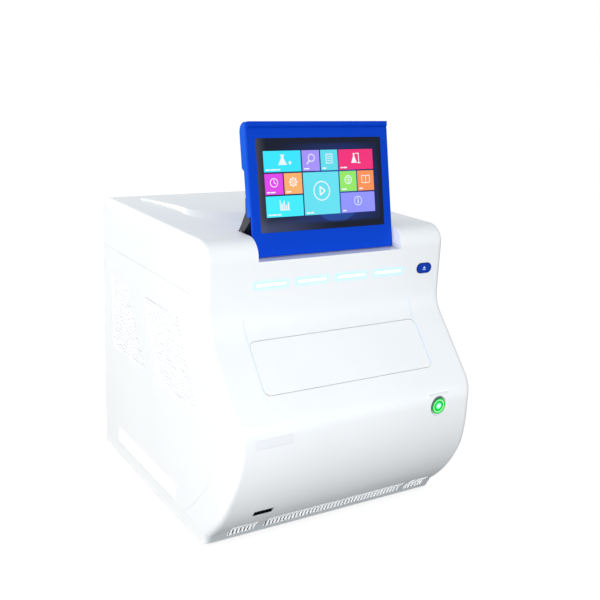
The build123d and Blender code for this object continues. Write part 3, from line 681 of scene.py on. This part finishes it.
def tile_span(column, row, wide, high):
    """Left, lower, right and upper edge of a tile on the glass."""
    left = grid_left + column * cell
    low = grid_low + row * cell
    return left, low, left + (wide - 1) * cell + tile_size, low + (high - 1) * cell + tile_size


def tile_finish(name, colour):
    """Lit colour with a slight, slow change in its strength, under the gloss of the glass."""
    finish = Finish(name)
    point, _ = finish.place()
    fall = finish.noise(point, 14.0).smooth(0.3, 0.7)
    lit = finish.mix(fall * 0.25, colour, tuple(c * 0.82 for c in colour))
    finish.shade(base_color=(0.01, 0.01, 0.012, 1), roughness=0.2, specular_ior_level=0.12)
    return finish.shade(emission_color=lit, emission_strength=1.12)


for name, column, row, wide, high, colour in tiles:
    left, low, right, top = tile_span(column, row, wide, high)
    shape = bmesh.new()
    slab(shape, (left, low, 0), (right, top, tile_lift), glass_frame)
    piece(f"tile_{name}", shape, tile_finish(f"tile_{name}", colour), "screen")
print(len(tiles), "tiles")

# %% [markdown]
# ### Pictures and caption bars
# The pictures are made of strokes: straight bars, rings, discs and small polygons, each a thin slab just
# above its tile. A ring is two circles bridged together, and it gets its thickness when it is extruded.

# %% Strokes
icon_lift = 0.00018
stroke_depth = 0.00008


def flat_to_slab(shape, faces, matrix):
    """Gives flat faces a thickness and moves them from the flat drawing to the glass."""
    made = bmesh.ops.extrude_face_region(shape, geom=faces)
    new_verts = [item for item in made["geom"] if isinstance(item, bmesh.types.BMVert)]
    bmesh.ops.translate(shape, verts=new_verts, vec=(0, 0, stroke_depth))
    every = {vert for face in faces for vert in face.verts} | set(new_verts)
    bmesh.ops.transform(shape, verts=list(every), matrix=matrix)


def stroke(shape, matrix, start, end, width):
    """Straight bar from one point to another."""
    start, end = Vector(start), Vector(end)
    run = end - start
    turned_to_run = Matrix.Rotation(math.atan2(run.y, run.x), 4, "Z")
    place = matrix @ Matrix.Translation((*(start + end) / 2, 0)) @ turned_to_run
    half = run.length / 2
    slab(shape, (-half, -width / 2, 0), (half, width / 2, stroke_depth), place)


def outline(shape, matrix, points, width):
    """Strokes from point to point, and back to the first."""
    for start, end in zip(points, points[1:] + points[:1]):
        stroke(shape, matrix, start, end, width)


def ring(shape, matrix, centre, radius, width, segments=40):
    """Flat ring between two circles."""
    place = Matrix.Translation((*centre, 0))
    edges = []
    for circle_radius in (radius, radius - width):
        verts = bmesh.ops.create_circle(shape, radius=circle_radius, segments=segments, matrix=place)["verts"]
        edges += dict.fromkeys(edge for vert in verts for edge in vert.link_edges)
    faces = bmesh.ops.bridge_loops(shape, edges=edges)["faces"]
    flat_to_slab(shape, faces, matrix)


def disc(shape, matrix, centre, radius, segments=24):
    """Flat round spot."""
    settings = {"cap_ends": True, "radius": radius, "segments": segments}
    made = bmesh.ops.create_circle(shape, matrix=Matrix.Translation((*centre, 0)), **settings)["verts"]
    faces = list({face for vert in made for face in vert.link_faces})
    flat_to_slab(shape, faces, matrix)


def polygon(shape, matrix, points):
    """Flat area with straight sides."""
    verts = [shape.verts.new((x, y, 0)) for x, y in points]
    flat_to_slab(shape, [shape.faces.new(verts)], matrix)


def picture_frame(name, scale, shift=0.0018):
    """Frame at the middle of a tile in which pictures are drawn about 10 units high."""
    column, row, wide, high = next(tile[1:5] for tile in tiles if tile[0] == name)
    left, low, right, top = tile_span(column, row, wide, high)
    centre = ((left + right) / 2, (low + top) / 2 + shift, icon_lift)
    return glass_frame @ Matrix.Translation(centre) @ Matrix.Scale(scale, 4)


print("strokes ready")

# %% [markdown]
# Each picture is drawn round the middle of its tile on a sheet about ten units high, so its numbers stay
# simple. All pictures go into one mesh, because they share one finish and never move apart.

# %% Draw the pictures
icons = bmesh.new()
sheet = picture_frame("report", 0.00125)
polygon(icons, sheet, [(-5, -5), (5, -5), (1.5, 1.5), (1.5, 4), (-1.5, 4), (-1.5, 1.5)])
stroke(icons, sheet, (-2.4, 4.6), (2.4, 4.6), 0.9)
stroke(icons, sheet, (6.5, -3), (10.5, -3), 1.0)
stroke(icons, sheet, (8.5, -5), (8.5, -1), 1.0)
sheet = picture_frame("search", 0.00112)
ring(icons, sheet, (0.8, 1.4), 4.4, 0.9)
stroke(icons, sheet, (-2.2, -1.8), (-5.4, -5.4), 1.3)
sheet = picture_frame("notes", 0.00112)
outline(icons, sheet, [(-4, -5), (4, -5), (4, 5), (-4, 5)], 0.8)
for level in (2.4, 0, -2.4):
    stroke(icons, sheet, (-2.4, level), (2.4, level), 0.7)
sheet = picture_frame("chart", 0.00125)
polygon(icons, sheet, [(-6, -5), (-3.4, 1.5), (-1.6, 1.5), (1, -5)])
stroke(icons, sheet, (-2.5, 1.5), (-2.5, 5), 1.8)
stroke(icons, sheet, (3.4, -5), (3.4, 5), 0.9)
stroke(icons, sheet, (3.4, 4.6), (-0.6, 4.6), 0.8)
stroke(icons, sheet, (1.6, -5), (5.6, -5), 0.9)
sheet = picture_frame("clock", 0.00112)
ring(icons, sheet, (0, 0), 5.0, 0.8)
stroke(icons, sheet, (0, 0), (0, 3.4), 0.8)
stroke(icons, sheet, (0, 0), (2.4, -1.4), 0.8)
sheet = picture_frame("wheel", 0.00112)
ring(icons, sheet, (0, 0), 4.2, 1.0)
ring(icons, sheet, (0, 0), 1.9, 0.7)
for n in range(8):
    away = Vector((math.cos(math.tau * n / 8), math.sin(math.tau * n / 8)))
    stroke(icons, sheet, away * 4.0, away * 5.4, 1.6)
sheet = picture_frame("play", 0.0022, 0.003)
ring(icons, sheet, (0, 0), 5.6, 0.6, 64)
outline(icons, sheet, [(-1.1, -2.4), (2.3, 0), (-1.1, 2.4)], 0.8)
sheet = picture_frame("globe", 0.00112)
ring(icons, sheet, (0, 0), 5.0, 0.8)
stroke(icons, sheet, (-4.6, 0), (4.6, 0), 0.6)
stroke(icons, sheet, (0, -4.6), (0, 4.6), 0.6)
for side in (-1, 1):
    stroke(icons, sheet, (-3.6, 2.4 * side), (3.6, 2.4 * side), 0.5)
sheet = picture_frame("book", 0.00112)
for side in (-1, 1):
    page = [(0, 3.6), (5.4 * side, 4.4), (5.4 * side, -3.8), (0, -4.6)]
    for start, end in zip(page, page[1:]):
        stroke(icons, sheet, start, end, 0.8)
stroke(icons, sheet, (0, 3.6), (0, -4.6), 0.8)
sheet = picture_frame("bars", 0.00125)
stroke(icons, sheet, (-5.4, -5), (-5.4, 5), 0.8)
stroke(icons, sheet, (-5.4, -5), (5.6, -5), 0.8)
for n, height in enumerate((1.5, 4.0, 0.0, 2.4)):
    stroke(icons, sheet, (-3.6 + 2.5 * n, -4.6), (-3.6 + 2.5 * n, height), 1.5)
sheet = picture_frame("info", 0.00115)
ring(icons, sheet, (0, 0), 5.2, 0.7)
disc(icons, sheet, (0, 2.5), 0.8)
stroke(icons, sheet, (0, 1.0), (0, -3.0), 1.2)
print("pictures:", len(icons.faces), "faces")

# %% [markdown]
# Words that small can't be read anyway, so a caption is a row of short bars, one for each word, with a
# length that stands for its letters. They share the mesh and the finish of the pictures.

# %% Add the captions and finish the piece
letter = 0.0011
word_gap = 0.0009
caption_left = 0.0022
caption_low, caption_high = 0.0020, 0.0036
caption_lengths = {"report": (5, 8, 4), "search": (7,), "notes": (5,), "chart": (3, 5), "clock": (4, 6),
                   "wheel": (6,), "play": (5, 4), "globe": (7,), "book": (5,), "bars": (4, 6, 5),
                   "info": (5,)}
for name, column, row, wide, high, _ in tiles:
    left, low, _, _ = tile_span(column, row, wide, high)
    x = left + caption_left
    for letters in caption_lengths[name]:
        reach = x + letters * letter
        slab(icons, (x, low + caption_low, icon_lift), (reach, low + caption_high, icon_lift + stroke_depth),
             glass_frame)
        x = reach + word_gap

icon_white = Finish("icon_white")
icon_point, _ = icon_white.place()
change = icon_white.noise(icon_point, 40.0).smooth(0.3, 0.7)
icon_glow = icon_white.mix(change, rgb(236, 248, 255), rgb(255, 255, 255))
icon_white.shade(base_color=(0.02, 0.02, 0.02, 1), roughness=0.2)
icon_white.shade(emission_color=icon_glow, emission_strength=0.95)
tidy_normals(icons)
pictures = piece("screen_pictures", icons, icon_white, "screen")
print("pictures and captions:", len(pictures.data.polygons), "faces")

# %% [markdown]
# The pill-shaped button gets the plain sign for opening a drawer, an arrowhead over a bar, a tenth of a
# millimetre proud of its face. It stands upright, so its frame of reference only turns the flat drawing up.

# %% Sign on the pill-shaped button
sign_lift = 0.0001
sign_unit = 0.001
sign = bmesh.new()
sign_place = Matrix.Translation((pill.x, pill_low.y - sign_lift, pill.z))
sign_frame = sign_place @ Matrix.Rotation(math.pi / 2, 4, "X") @ Matrix.Scale(sign_unit, 4)
polygon(sign, sign_frame, [(-2.6, -0.4), (2.6, -0.4), (0, 2.6)])
stroke(sign, sign_frame, (-2.6, -2.0), (2.6, -2.0), 1.1)
tidy_normals(sign)
sign_blue = plastic("sign_blue", rgb(176, 202, 246), 0.4, drift=0.01)
sign_blue.shade(emission_color=(0.5, 0.65, 0.95, 1), emission_strength=0.25)
piece("open_sign", sign, sign_blue, "open_button")
print("sign at", [round(c, 4) for c in pill])

# %% [markdown]
# ## Grille and filters
# The low intake openings have upright fins flush with the rounded nose, in front of a wall that lies in the
# dark. Each fin is the same outline, seen from the side, made thick along X. The outline follows the nose in
# two straight runs. The finish gets darker with the depth behind those runs, as the light gets weaker there.

# %% Fins in the intake openings
nose_line = [(-0.1455, 0.011), (-0.1502, 0.0205), (-0.1624, 0.032)]
intake_groups = [(-0.150, -0.112), (-0.098, 0.118), (0.128, 0.160)]
channel_depth = 0.0048
wall_thickness = 0.0025
overlap = 0.0005
fin_pitch = 0.0055
fin_thickness = 0.0023
fin_setback = 0.0002
rim_width = 0.0012


def prism(shape, points, left, right):
    """Solid with a (Y, Z) outline as its section, from one X to another."""
    verts = [shape.verts.new((left, y, z)) for y, z in points]
    made = bmesh.ops.extrude_face_region(shape, geom=[shape.faces.new(verts)])
    moved = [item for item in made["geom"] if isinstance(item, bmesh.types.BMVert)]
    bmesh.ops.translate(shape, verts=moved, vec=(right - left, 0, 0))


(_, nose_low), (_, nose_middle), (_, nose_high) = nose_line
nose_rise = nose_high - nose_low


def behind_nose(near, far, low=0.0, high=1.0):
    """Outline between two depths behind the nose, kept between two shares of its height."""
    def at(share):
        z = nose_low + share * nose_rise
        first, second = nose_line[:2] if z < nose_middle else nose_line[1:]
        return first[0] + (z - first[1]) / (second[1] - first[1]) * (second[0] - first[0]), z
    middle_share = (nose_middle - nose_low) / nose_rise
    shares = [low] + [middle_share] * (low < middle_share < high) + [high]
    line = [at(share) for share in shares]
    return [(y + near, z) for y, z in line] + [(y + far, z) for y, z in reversed(line)]


print("nose rises by", round(nose_rise, 4))

# %% [markdown]
# Thin white fins let light through from their sides, so a weak glow lifts them against the dark gaps. It
# stops short of the rims above and below, which are part of the shaded strip under the nose.

# %% Finish of the fins
fin_middle = 0.0215
fin_half = 0.0086
grille_finish = Finish("grille_white")
_, (_, grille_y, grille_z) = grille_finish.place()
runs = [(grille_z - z) * ((next_y - y) / (next_z - z)) + y
        for (y, z), (next_y, next_z) in zip(nose_line, nose_line[1:])]
shadow = (grille_y - runs[0].below(runs[1])).smooth(0.0006, 0.0034)
on_fin = (grille_z - fin_middle).magnitude().fade(fin_half, fin_half + 0.0006)
fin_glow = grille_finish.mix((1.0 - shadow) * on_fin, (0, 0, 0), rgb(250, 253, 255))
grille_finish.shade(base_color=grille_finish.mix(shadow, casing_white, rgb(12, 15, 17)), roughness=0.42)
grille_finish.shade(emission_color=fin_glow, emission_strength=0.34)
print("fins up to", round(fin_middle + fin_half, 4))

# %% [markdown]
# One wall closes all three openings from behind. Each opening then gets a rim of four bars, which meets the
# cover round it, and as many fins as fit between its ends.

# %% Build the fins
grille = bmesh.new()
wall = behind_nose(channel_depth, channel_depth + wall_thickness)
prism(grille, wall, intake_groups[0][0], intake_groups[-1][1])
fin_depth = channel_depth + overlap
rim_share = rim_width / nose_rise
for left, right in intake_groups:
    for start in (left, right - rim_width):
        prism(grille, behind_nose(0, fin_depth), start, start + rim_width)
    for low, high in ((0, rim_share), (1 - rim_share, 1)):
        rim = behind_nose(0, fin_depth, low, high)
        prism(grille, rim, left + rim_width / 2, right - rim_width / 2)
    count = int((right - left - 0.004) / fin_pitch)
    first = (left + right - (count - 1) * fin_pitch) / 2
    fin = behind_nose(fin_setback, fin_depth, rim_share / 2, 1 - rim_share / 2)
    for n in range(count):
        fin_x = first + n * fin_pitch
        prism(grille, fin, fin_x - fin_thickness / 2, fin_x + fin_thickness / 2)
tidy_normals(grille)
fins = piece("intake_fins", grille, grille_finish, "casing")
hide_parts("front_grille")
print("grille:", len(fins.data.polygons), "faces")

# %% [markdown]
# Behind the slats of the side vents lie pads of pale filter fleece, one for each field of slats. Air passes
# through them and light is scattered in them, and a painted glow in the pads stands in for that light, so the
# slots look almost as pale as the panel.

# %% Filter pads behind the side vents
vent_fields = [[(0.1725, 0.278), (0.118, 0.279), (0.0455, 0.173), (0.1715, 0.170)],
               [(0.0555, 0.279), (-0.0555, 0.281), (-0.1165, 0.174), (0.0005, 0.169)]]
pad_x = (0.175, 0.1769)
fleece = plastic("filter_fleece", rgb(243, 245, 246), 0.85, grain=0.5)
# painted glow: the pads give off a weak light of their own
fleece.shade(emission_color=(0.93, 0.96, 1.0, 1), emission_strength=0.22)
pads = bmesh.new()
for side in (-1, 1):
    for field in vent_fields:
        prism(pads, field, side * pad_x[0], side * pad_x[1])
tidy_normals(pads)
piece("filter_pads", pads, fleece, "casing")
print(2 * len(vent_fields), "filter pads")

# %% [markdown]
# ## The lit button
# The round button glows green, with a bright core and a thin pale ring round it, and it sits in a frame with
# painted shade at its upper left and a painted highlight at its lower right; the glow outside the core is
# painted weaker at the upper left too. All of this depends on the distance from the button's axis, so one
# ramp of colours over that distance serves the cap, its frame and the two pieces that are turned on a lathe:
# a low lens over the core and a raised ring. They ride on the cap, so they travel with it when it is pressed.

# %% Colours of the button over the distance from its axis
cap_low, cap_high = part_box("standby_cap")
cap_centre = Vector(((cap_low.x + cap_high.x) / 2, cap_low.y, (cap_low.z + cap_high.z) / 2))
button_reach = 0.0135
button_stops = [(0.0, rgb(214, 255, 240)), (0.0026, rgb(176, 255, 220)), (0.0041, rgb(44, 222, 92)),
                (0.0054, rgb(12, 172, 40)), (0.0072, rgb(12, 152, 40)), (0.0080, rgb(170, 244, 184)),
                (0.0087, rgb(86, 222, 112)), (0.0094, rgb(16, 176, 52)), (0.0108, rgb(10, 140, 50))]


def button_finish(name):
    """Glow that changes with the distance from the axis, with painted shade at the frame's upper left and a
    painted highlight at its lower right.
    """
    finish = Finish(name)
    _, (x, y, z) = finish.place()
    across, upward = x - cap_centre.x, z - cap_centre.z
    radius = distance(across, upward)
    stops = [(reach / button_reach, colour) for reach, colour in button_stops]
    ramp = finish.add("ShaderNodeValToRGB", {"stops": stops}, {0: radius / button_reach})
    # painted light: 0 at the shaded upper left, 1 at the lit lower right
    painted_light_side = (across - upward).smooth(-0.012, 0.010)
    shade = finish.mix(painted_light_side, rgb(86, 104, 104), rgb(250, 251, 252))
    on_frame = radius.smooth(0.0107, 0.0110)
    lit_part = (1.0 - on_frame) * (0.35 + painted_light_side * 0.65).above(radius.fade(0.0086, 0.0094))
    finish.shade(base_color=finish.mix(on_frame, ramp, shade), roughness=0.25, coat_weight=0.4)
    return finish.shade(emission_color=finish.mix(lit_part, (0, 0, 0), ramp), emission_strength=0.75)


button_glow = button_finish("button_glow")
dress(button_glow, "standby_cap", "standby_bezel")
print("button axis at", [round(c, 4) for c in cap_centre])

# %% [markdown]
# On a lathe a profile turns about an axis, and the spin operator does the same. Its last step is merged with
# its first, which closes the seam, and the points on the axis are merged into one, which closes the pole.

# %% Turn the lens and the ring of the button
merge_distance = 1e-6


def turned(profile, centre, segments=64):
    """Spins an open profile of (radius, depth) points about a line along Y through the centre."""
    shape = bmesh.new()
    verts = [shape.verts.new((centre.x + radius, centre.y + depth, centre.z)) for radius, depth in profile]
    edges = [shape.edges.new(pair) for pair in zip(verts, verts[1:])]
    bmesh.ops.spin(shape, geom=verts + edges, cent=centre, axis=(0, 1, 0), angle=math.tau, steps=segments,
                   use_merge=True)
    bmesh.ops.remove_doubles(shape, verts=shape.verts, dist=merge_distance)
    tidy_normals(shape)
    return shape


lens_profile = [(0.0, -0.00036), (0.0022, -0.00032), (0.0040, -0.00018), (0.0052, 0.0001)]
ring_profile = [(0.0074, 0.0001), (0.0076, -0.0003), (0.0082, -0.00036), (0.0088, -0.0003), (0.0090, 0.0001)]
lens = turned(lens_profile, cap_centre)
piece("standby_lens", lens, button_glow, "standby_button")
raised = turned(ring_profile, cap_centre)
piece("standby_ring", raised, button_glow, "standby_button")
print("lens and ring turned")

# %% [markdown]
# ## Screws at the back
# The rear sheet is held by pan-head screws, and so are the fans and the inlet. Their heads are turned with
# the same function as the button's lens, with a round socket in the middle, and all of them form one piece.

# %% Screw heads
head_profile = [(0.0, 0.0006), (0.0012, 0.0006), (0.0014, 0.0015), (0.0021, 0.0014), (0.0028, 0.0007),
                (0.0029, -0.0002)]
fan_x, fan_z = 0.06, 0.270
fan_screw = 0.03575
inlet_sink = 0.001
sheet_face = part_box("rear_panel")[1].y
inlet_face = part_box("power_inlet")[1].y - inlet_sink
screw_places = [(x, sheet_face, z) for x in (-0.159, 0.159) for z in (0.026, 0.196, 0.366)]
screw_places += [(middle_x + x, sheet_face, fan_z + z) for middle_x in (-fan_x, fan_x)
                 for x in (-fan_screw, fan_screw) for z in (-fan_screw, fan_screw)]
screw_places += [(x, inlet_face, 0.070) for x in (0.090, 0.130)]
heads = bmesh.new()
for place in screw_places:
    head = turned(head_profile, Vector(place), 20)
    loose = bpy.data.meshes.new("screw")
    head.to_mesh(loose)
    head.free()
    heads.from_mesh(loose)
    bpy.data.meshes.remove(loose)
piece("rear_screws", heads, steel, "casing")
print(len(screw_places), "screws")

# %% [markdown]
# ## Last lines
# How far the dressed model reaches past the bare one is printed, corner by corner.

# %% Print the growth
dressed_box = [list(corner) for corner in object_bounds()]
growth = [round(b - a, 5) for a, b in zip(sum(cad_box, []), sum(dressed_box, []))]
print("grown by", growth)
